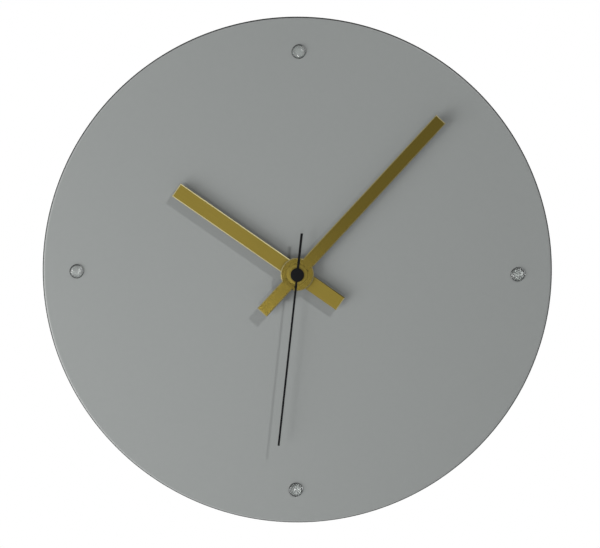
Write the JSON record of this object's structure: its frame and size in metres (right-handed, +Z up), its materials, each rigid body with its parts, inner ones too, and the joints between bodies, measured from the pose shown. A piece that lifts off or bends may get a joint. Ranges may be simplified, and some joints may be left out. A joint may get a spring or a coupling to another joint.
{
  "type": "wall clock",
  "caption": "Frameless round wall clock: satin grey plate, clear domed hour studs, two flat square-ended hands with tails, a thin second hand and a quartz movement behind.",
  "frame": {"origin": "on the hand axis, in the plane of the movement's back where it rests on the wall", "axes": "+Z up to 12 o'clock, +X to the right as seen from the front, +Y into the wall; the face looks along -Y"},
  "size_m": [0.3, 0.0326, 0.3],
  "materials": {
    "satin_grey_plate": "satin lacquered, ground edge",
    "clear_stud": "clear, domed, on the grey plate",
    "brass_tone_hand": "satin brass-tone anodised",
    "black_hand": "black lacquered",
    "brass": "turned",
    "steel": "bright",
    "rubber": "matt",
    "black_plastic": "fine spark-eroded",
    "white_plastic": "moulded, satin",
    "magnet": "sintered",
    "copper": "enamelled wire",
    "nickel": "nickel plated",
    "board": "paper laminate",
    "resin": "poured black resin",
    "cell": "printed sleeve, plain"
  },
  "bodies": {
    "clock": {"dial_plate": "satin_grey_plate", "hour_marker_12": "clear_stud", "hour_marker_3": "clear_stud", "hour_marker_6": "clear_stud", "hour_marker_9": "clear_stud", "threaded_bush": "brass", "bush_nut": "brass", "front_washer": "brass", "rubber_washer": "rubber", "movement_case": "black_plastic", "movement_cover": "black_plastic", "hanger": "black_plastic", "train_plate": "white_plastic", "stator_plate": "nickel", "coil_core": "nickel", "coil_bobbin": "white_plastic", "coil_winding": "copper", "circuit_board": "board", "clock_chip": "resin", "quartz_crystal": "nickel", "battery_cell": "cell", "positive_contact": "nickel", "negative_contact": "nickel"},
    "minute_hand_body": {"minute_hand": "brass_tone_hand", "minute_hand_bush": "brass", "minute_tube": "white_plastic"},
    "hour_hand_body": {"hour_hand": "brass_tone_hand", "hour_hand_collet": "brass", "hour_wheel": "white_plastic"},
    "second_hand_body": {"second_hand": "black_hand", "second_hand_boss": "black_hand", "second_hand_sleeve": "brass", "second_arbor": "steel", "second_wheel": "white_plastic"},
    "minute_wheel_body": {"minute_wheel": "white_plastic"},
    "setting_knob_body": {"setting_knob": "white_plastic", "setting_pinion": "white_plastic"},
    "centre_wheel_body": {"centre_wheel": "white_plastic"},
    "third_wheel_body": {"third_wheel": "white_plastic", "third_arbor": "steel"},
    "intermediate_wheel_body": {"intermediate_wheel": "white_plastic", "intermediate_arbor": "steel"},
    "rotor_body": {"rotor_pinion": "white_plastic", "rotor_magnet": "magnet"}
  },
  "joints": [
    {"name": "minute_spin", "type": "hinge", "parent": "clock", "child": "minute_hand_body", "pos_m": [0, -0.0109, 0], "axis": [0, 1, 0], "continuous": true},
    {"name": "hour_spin", "type": "hinge", "parent": "clock", "child": "hour_hand_body", "pos_m": [0, -0.0109, 0], "axis": [0, 1, 0], "continuous": true},
    {"name": "minute_wheel_spin", "type": "hinge", "parent": "clock", "child": "minute_wheel_body", "pos_m": [0.0087, -0.0109, 0.00406], "axis": [0, 1, 0], "continuous": true},
    {"name": "setting_knob_spin", "type": "hinge", "parent": "clock", "child": "setting_knob_body", "pos_m": [0.01815, -0.0109, 0.00239], "axis": [0, 1, 0], "continuous": true},
    {"name": "second_spin", "type": "hinge", "parent": "clock", "child": "second_hand_body", "pos_m": [0, -0.0109, 0], "axis": [0, 1, 0], "continuous": true},
    {"name": "third_wheel_spin", "type": "hinge", "parent": "clock", "child": "third_wheel_body", "pos_m": [0.00459, -0.0109, 0.00795], "axis": [0, 1, 0], "continuous": true},
    {"name": "centre_wheel_spin", "type": "hinge", "parent": "clock", "child": "centre_wheel_body", "pos_m": [0, -0.0109, 0], "axis": [0, 1, 0], "continuous": true},
    {"name": "intermediate_wheel_spin", "type": "hinge", "parent": "clock", "child": "intermediate_wheel_body", "pos_m": [-0.00842, -0.0109, 0.00486], "axis": [0, 1, 0], "continuous": true},
    {"name": "rotor_spin", "type": "hinge", "parent": "clock", "child": "rotor_body", "pos_m": [-0.01105, -0.0109, 0.0121], "axis": [0, 1, 0], "continuous": true}
  ],
  "couplings": [
    {"joint": "hour_spin", "follows": "minute_spin", "ratio": 0.083333},
    {"joint": "minute_wheel_spin", "follows": "minute_spin", "ratio": -0.33333},
    {"joint": "setting_knob_spin", "follows": "minute_spin", "ratio": 1},
    {"joint": "third_wheel_spin", "follows": "second_spin", "ratio": -0.13333},
    {"joint": "centre_wheel_spin", "follows": "second_spin", "ratio": 0.016667},
    {"joint": "intermediate_wheel_spin", "follows": "second_spin", "ratio": -5},
    {"joint": "rotor_spin", "follows": "second_spin", "ratio": 30}
  ]
}
